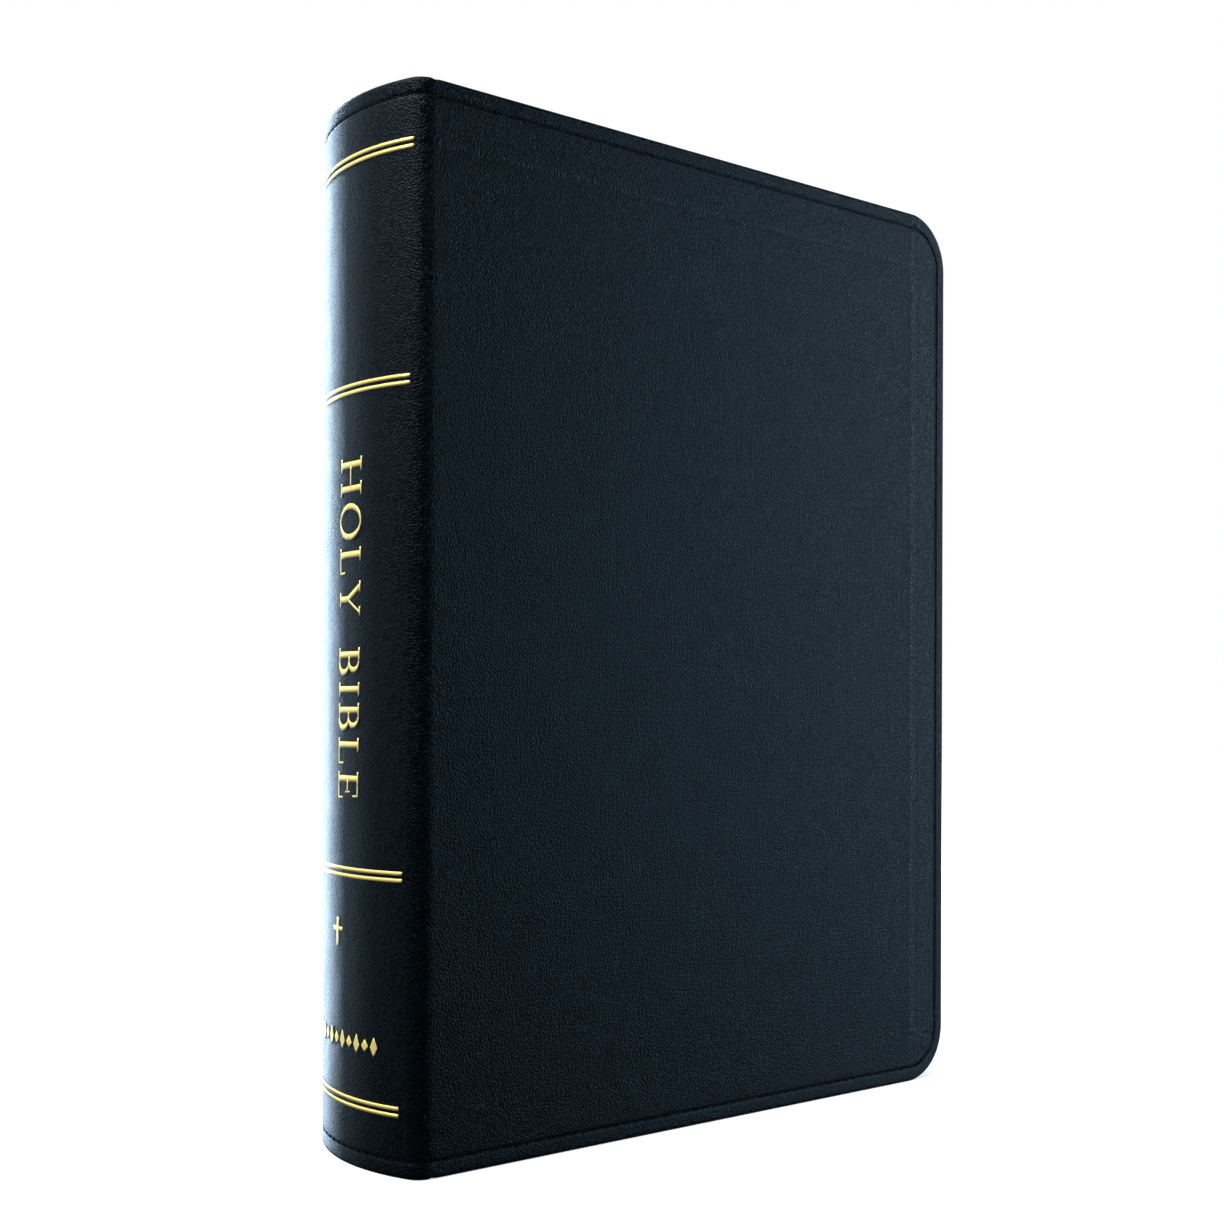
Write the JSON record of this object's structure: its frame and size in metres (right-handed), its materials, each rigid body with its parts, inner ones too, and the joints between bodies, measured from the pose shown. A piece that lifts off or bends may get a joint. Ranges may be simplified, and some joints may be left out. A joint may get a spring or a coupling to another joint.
{
  "type": "bible",
  "caption": "Thick leather-bound Bible standing closed, with a rounded spine, gilt rules and stitched turned edges, whose covers and leaves open like a fan.",
  "frame": {"origin": "on the surface it stands on, under the middle of the closed book", "axes": "+Z from tail to head, +Y from the spine to the fore-edge, +X out of the front cover"},
  "size_m": [0.0464, 0.1816, 0.247],
  "materials": {
    "cover_leather": "black bonded leather, fine grain, soft satin",
    "card": "plain grey card",
    "cover_thread": "waxed black thread",
    "gilt_foil": "bright stamped gilt foil",
    "kraft_paper": "plain kraft paper",
    "mull": "open cotton gauze",
    "band_silk": "woven silk band, gold and white",
    "sewing_thread": "waxed linen thread",
    "page_paper": "thin opaque paper with gilded edges",
    "endpaper": "black embossed endpaper"
  },
  "bodies": {
    "spine": {"spine_leather": "cover_leather", "spine_stiffener": "card", "spine_stitching": "cover_thread", "gilt_rules": "gilt_foil", "spine_paper_lining": "kraft_paper", "spine_mull": "mull", "headband": "band_silk", "tailband": "band_silk", "sewing_threads": "sewing_thread", "section_folds": "page_paper", "middle_sections": "page_paper"},
    "front_cover": {"front_cover_leather": "cover_leather", "front_cover_board": "card", "front_stitching": "cover_thread", "front_pastedown": "endpaper"},
    "front_flyleaf": {"front_flyleaf": "endpaper"},
    "front_sections_1": {"front_sections_1": "page_paper"},
    "front_sections_2": {"front_sections_2": "page_paper"},
    "front_sections_3": {"front_sections_3": "page_paper"},
    "front_sections_4": {"front_sections_4": "page_paper"},
    "front_sections_5": {"front_sections_5": "page_paper"},
    "front_sections_6": {"front_sections_6": "page_paper"},
    "front_sections_7": {"front_sections_7": "page_paper"},
    "front_sections_8": {"front_sections_8": "page_paper"},
    "back_cover": {"back_cover_leather": "cover_leather", "back_cover_board": "card", "back_stitching": "cover_thread", "back_pastedown": "endpaper"},
    "back_flyleaf": {"back_flyleaf": "endpaper"},
    "back_sections_1": {"back_sections_1": "page_paper"},
    "back_sections_2": {"back_sections_2": "page_paper"},
    "back_sections_3": {"back_sections_3": "page_paper"},
    "back_sections_4": {"back_sections_4": "page_paper"},
    "back_sections_5": {"back_sections_5": "page_paper"},
    "back_sections_6": {"back_sections_6": "page_paper"},
    "back_sections_7": {"back_sections_7": "page_paper"},
    "back_sections_8": {"back_sections_8": "page_paper"}
  },
  "joints": [
    {"name": "front_cover_hinge", "type": "hinge", "parent": "spine", "child": "front_cover", "pos_m": [0.0232, -0.08155, 0.1235], "axis": [0, 0, -1], "range_deg": [0, 178]},
    {"name": "front_flyleaf_turn", "type": "hinge", "parent": "spine", "child": "front_flyleaf", "pos_m": [0.0232, -0.08155, 0.1235], "axis": [0, 0, -1], "range_deg": [0, 172.66]},
    {"name": "front_sections_1_turn", "type": "hinge", "parent": "spine", "child": "front_sections_1", "pos_m": [0.0232, -0.08155, 0.1235], "axis": [0, 0, -1], "range_deg": [0, 156.64]},
    {"name": "front_sections_2_turn", "type": "hinge", "parent": "spine", "child": "front_sections_2", "pos_m": [0.0232, -0.08155, 0.1235], "axis": [0, 0, -1], "range_deg": [0, 137.06]},
    {"name": "front_sections_3_turn", "type": "hinge", "parent": "spine", "child": "front_sections_3", "pos_m": [0.0232, -0.08155, 0.1235], "axis": [0, 0, -1], "range_deg": [0, 117.48]},
    {"name": "front_sections_4_turn", "type": "hinge", "parent": "spine", "child": "front_sections_4", "pos_m": [0.0232, -0.08155, 0.1235], "axis": [0, 0, -1], "range_deg": [0, 97.9]},
    {"name": "front_sections_5_turn", "type": "hinge", "parent": "spine", "child": "front_sections_5", "pos_m": [0.0232, -0.08155, 0.1235], "axis": [0, 0, -1], "range_deg": [0, 78.32]},
    {"name": "front_sections_6_turn", "type": "hinge", "parent": "spine", "child": "front_sections_6", "pos_m": [0.0232, -0.08155, 0.1235], "axis": [0, 0, -1], "range_deg": [0, 58.74]},
    {"name": "front_sections_7_turn", "type": "hinge", "parent": "spine", "child": "front_sections_7", "pos_m": [0.0232, -0.08155, 0.1235], "axis": [0, 0, -1], "range_deg": [0, 39.16]},
    {"name": "front_sections_8_turn", "type": "hinge", "parent": "spine", "child": "front_sections_8", "pos_m": [0.0232, -0.08155, 0.1235], "axis": [0, 0, -1], "range_deg": [0, 19.58]},
    {"name": "back_cover_hinge", "type": "hinge", "parent": "spine", "child": "back_cover", "pos_m": [-0.0232, -0.08155, 0.1235], "axis": [0, 0, 1], "range_deg": [0, 178]},
    {"name": "back_flyleaf_turn", "type": "hinge", "parent": "spine", "child": "back_flyleaf", "pos_m": [-0.0232, -0.08155, 0.1235], "axis": [0, 0, 1], "range_deg": [0, 172.66]},
    {"name": "back_sections_1_turn", "type": "hinge", "parent": "spine", "child": "back_sections_1", "pos_m": [-0.0232, -0.08155, 0.1235], "axis": [0, 0, 1], "range_deg": [0, 156.64]},
    {"name": "back_sections_2_turn", "type": "hinge", "parent": "spine", "child": "back_sections_2", "pos_m": [-0.0232, -0.08155, 0.1235], "axis": [0, 0, 1], "range_deg": [0, 137.06]},
    {"name": "back_sections_3_turn", "type": "hinge", "parent": "spine", "child": "back_sections_3", "pos_m": [-0.0232, -0.08155, 0.1235], "axis": [0, 0, 1], "range_deg": [0, 117.48]},
    {"name": "back_sections_4_turn", "type": "hinge", "parent": "spine", "child": "back_sections_4", "pos_m": [-0.0232, -0.08155, 0.1235], "axis": [0, 0, 1], "range_deg": [0, 97.9]},
    {"name": "back_sections_5_turn", "type": "hinge", "parent": "spine", "child": "back_sections_5", "pos_m": [-0.0232, -0.08155, 0.1235], "axis": [0, 0, 1], "range_deg": [0, 78.32]},
    {"name": "back_sections_6_turn", "type": "hinge", "parent": "spine", "child": "back_sections_6", "pos_m": [-0.0232, -0.08155, 0.1235], "axis": [0, 0, 1], "range_deg": [0, 58.74]},
    {"name": "back_sections_7_turn", "type": "hinge", "parent": "spine", "child": "back_sections_7", "pos_m": [-0.0232, -0.08155, 0.1235], "axis": [0, 0, 1], "range_deg": [0, 39.16]},
    {"name": "back_sections_8_turn", "type": "hinge", "parent": "spine", "child": "back_sections_8", "pos_m": [-0.0232, -0.08155, 0.1235], "axis": [0, 0, 1], "range_deg": [0, 19.58]}
  ],
  "couplings": [
    {"joint": "front_flyleaf_turn", "follows": "front_cover_hinge", "ratio": 0.97},
    {"joint": "front_sections_1_turn", "follows": "front_cover_hinge", "ratio": 0.88},
    {"joint": "front_sections_2_turn", "follows": "front_cover_hinge", "ratio": 0.77},
    {"joint": "front_sections_3_turn", "follows": "front_cover_hinge", "ratio": 0.66},
    {"joint": "front_sections_4_turn", "follows": "front_cover_hinge", "ratio": 0.55},
    {"joint": "front_sections_5_turn", "follows": "front_cover_hinge", "ratio": 0.44},
    {"joint": "front_sections_6_turn", "follows": "front_cover_hinge", "ratio": 0.33},
    {"joint": "front_sections_7_turn", "follows": "front_cover_hinge", "ratio": 0.22},
    {"joint": "front_sections_8_turn", "follows": "front_cover_hinge", "ratio": 0.11},
    {"joint": "back_flyleaf_turn", "follows": "back_cover_hinge", "ratio": 0.97},
    {"joint": "back_sections_1_turn", "follows": "back_cover_hinge", "ratio": 0.88},
    {"joint": "back_sections_2_turn", "follows": "back_cover_hinge", "ratio": 0.77},
    {"joint": "back_sections_3_turn", "follows": "back_cover_hinge", "ratio": 0.66},
    {"joint": "back_sections_4_turn", "follows": "back_cover_hinge", "ratio": 0.55},
    {"joint": "back_sections_5_turn", "follows": "back_cover_hinge", "ratio": 0.44},
    {"joint": "back_sections_6_turn", "follows": "back_cover_hinge", "ratio": 0.33},
    {"joint": "back_sections_7_turn", "follows": "back_cover_hinge", "ratio": 0.22},
    {"joint": "back_sections_8_turn", "follows": "back_cover_hinge", "ratio": 0.11}
  ]
}
